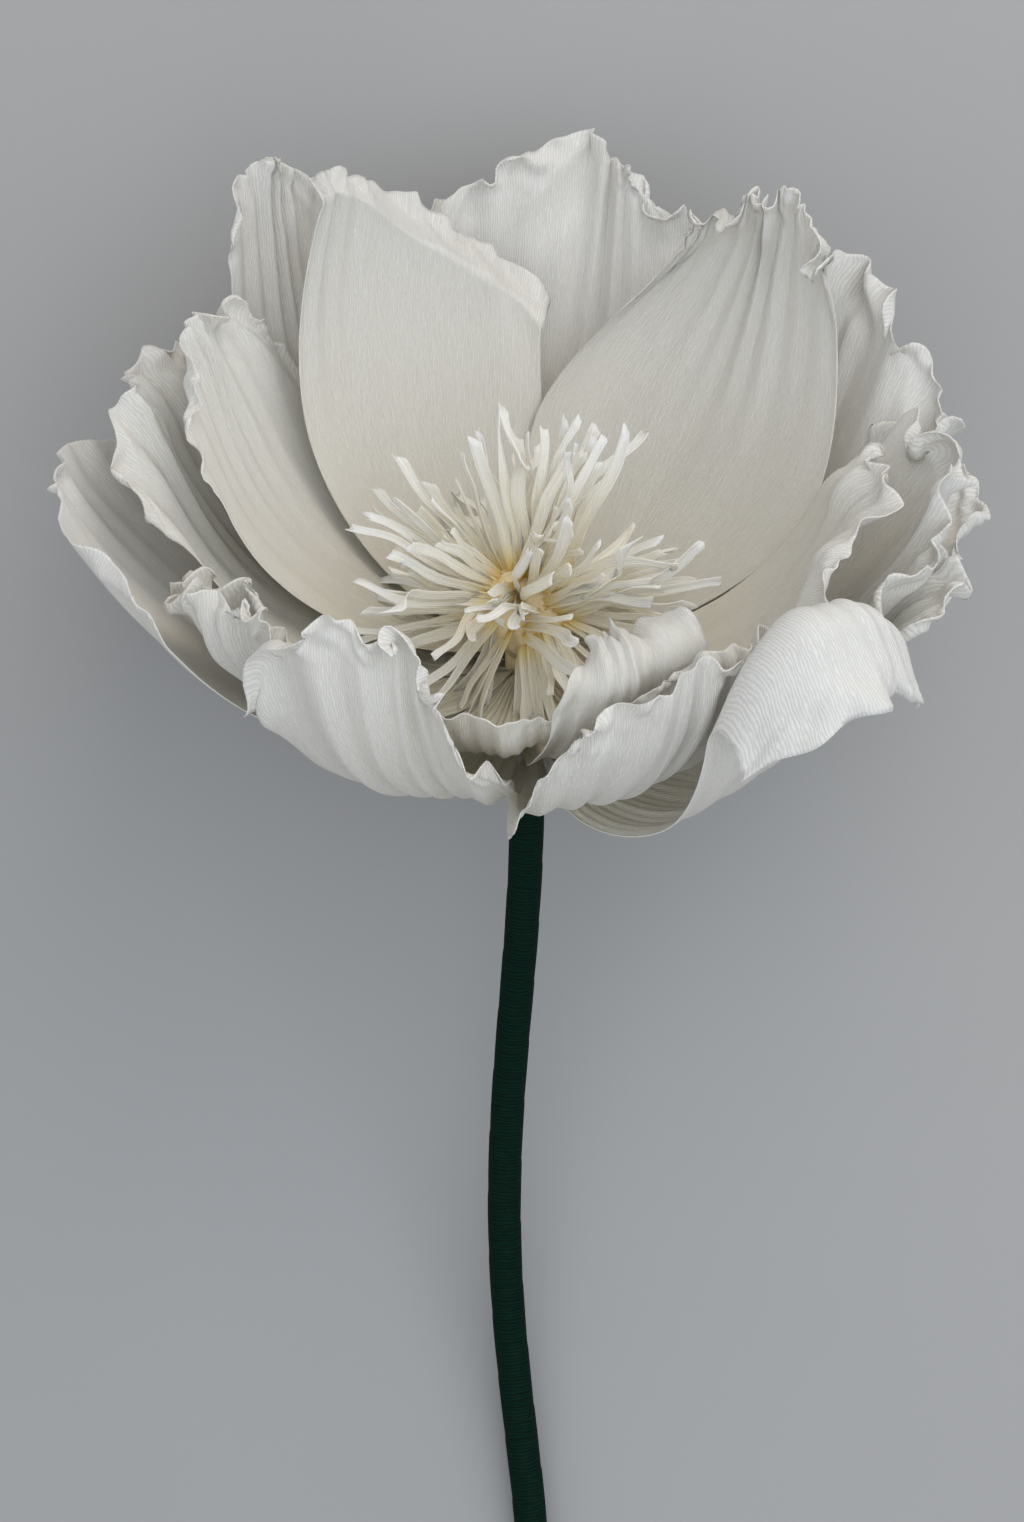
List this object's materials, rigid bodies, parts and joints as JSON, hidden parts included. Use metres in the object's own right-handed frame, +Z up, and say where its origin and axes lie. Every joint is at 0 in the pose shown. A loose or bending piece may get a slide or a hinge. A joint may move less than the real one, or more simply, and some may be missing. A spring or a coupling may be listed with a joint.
{
  "type": "paper flower",
  "caption": "Large open peony of white crepe paper with cupped, ruffled petals and cream stamens on a long wrapped wire stem, lying on its back.",
  "frame": {"origin": "on the surface the flower lies on, under the middle of its box", "axes": "+Z up from that surface, +Y from the stem's cut end towards the head's far petals, +X to the right seen from above with the head away"},
  "size_m": [0.2776, 0.4908, 0.2232],
  "materials": {
    "white_crepe": "matte crepe grain",
    "cream_crepe": "matte crepe grain",
    "green_crepe": "matte wound crepe",
    "steel_wire": "drawn wire"
  },
  "bodies": {
    "root": {"inner_petal_1": "white_crepe", "inner_petal_2": "white_crepe", "inner_petal_3": "white_crepe", "inner_petal_4": "white_crepe", "inner_petal_5": "white_crepe", "inner_petal_6": "white_crepe", "middle_petal_1": "white_crepe", "middle_petal_2": "white_crepe", "middle_petal_3": "white_crepe", "middle_petal_4": "white_crepe", "middle_petal_5": "white_crepe", "middle_petal_6": "white_crepe", "middle_petal_7": "white_crepe", "outer_petal_1": "white_crepe", "outer_petal_2": "white_crepe", "outer_petal_3": "white_crepe", "outer_petal_4": "white_crepe", "outer_petal_5": "white_crepe", "outer_petal_6": "white_crepe", "outer_petal_7": "white_crepe", "outer_petal_8": "white_crepe", "outer_petal_9": "white_crepe", "outer_petal_10": "white_crepe", "flower_core": "cream_crepe", "receptacle": "cream_crepe", "stamen_fringe_1": "cream_crepe", "stamen_fringe_2": "cream_crepe", "stamen_fringe_3": "cream_crepe", "stamen_fringe_4": "cream_crepe", "stamen_fringe_5": "cream_crepe", "stamen_fringe_6": "cream_crepe", "stem_wrap": "green_crepe", "stem_wire": "steel_wire"}
  },
  "joints": []
}
